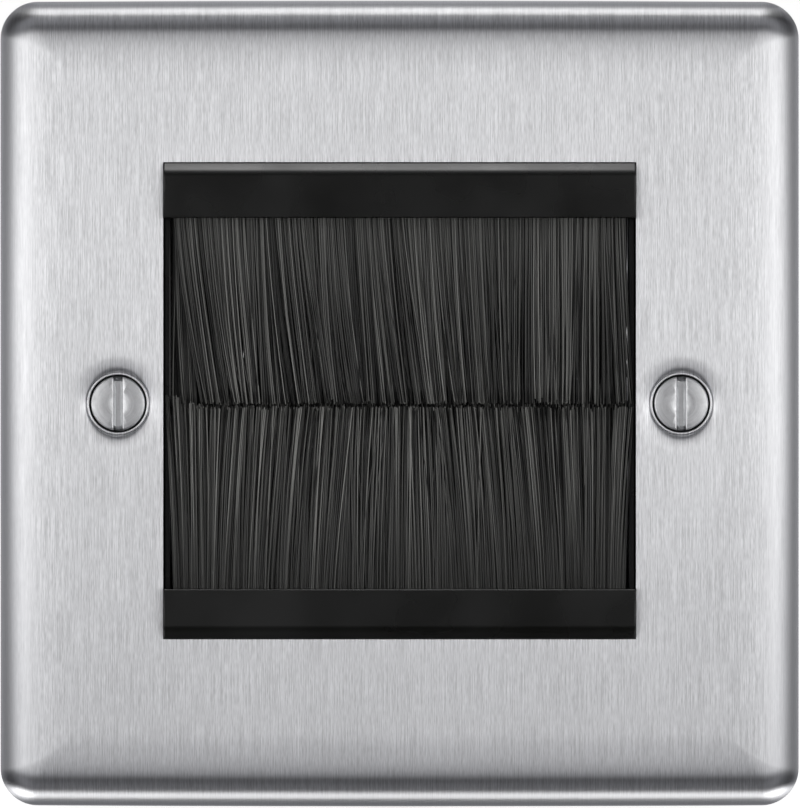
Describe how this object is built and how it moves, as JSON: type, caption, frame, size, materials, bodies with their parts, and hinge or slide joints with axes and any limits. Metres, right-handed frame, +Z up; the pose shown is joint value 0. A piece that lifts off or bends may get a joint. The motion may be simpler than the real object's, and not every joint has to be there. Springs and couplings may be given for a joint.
{
  "type": "brush wall plate",
  "caption": "Square pressed-steel wall plate with a brushed face, two slotted fixing screws and a black insert whose opposed bristle brushes let cables pass.",
  "frame": {"origin": "centre of the plate on the wall plane, which is the rear edge of the steel and the back of the gasket", "axes": "+X to the right, +Z up, the front faces -Y and the fixing screws point along +Y into the wall box"},
  "size_m": [0.0858, 0.0284, 0.0866],
  "materials": {
    "steel_face": "vertical brush grain, satin",
    "stud_steel": "plain welded stud",
    "spring_steel": "dark phosphate",
    "frame_plastic": "fine spark-eroded grain",
    "gasket_foam": "closed-cell foam",
    "housing_plastic": "satin moulded face",
    "retainer_plastic": "fine moulded grain",
    "channel_metal": "rolled mill finish",
    "wire_steel": "drawn wire",
    "bristle_nylon": "black nylon filament",
    "screw_nickel": "satin nickel plate, turned head",
    "washer_nylon": "natural nylon",
    "tag_brass": "bent strip, dull",
    "terminal_brass": "sawn and tumbled",
    "terminal_screw": "passivated zinc"
  },
  "bodies": {
    "root": {"face_plate": "steel_face", "weld_studs": "stud_steel", "stud_clips": "spring_steel", "support_frame": "frame_plastic", "wall_gasket": "gasket_foam", "brush_housing": "housing_plastic", "brush_retainer": "retainer_plastic", "upper_channel": "channel_metal", "lower_channel": "channel_metal", "upper_core_wire": "wire_steel", "lower_core_wire": "wire_steel", "upper_bristles": "bristle_nylon", "lower_bristles": "bristle_nylon", "left_fixing_screw": "screw_nickel", "right_fixing_screw": "screw_nickel", "left_screw_washer": "washer_nylon", "right_screw_washer": "washer_nylon", "earth_tag": "tag_brass", "earth_terminal": "terminal_brass", "earth_screw": "terminal_screw"}
  },
  "joints": []
}
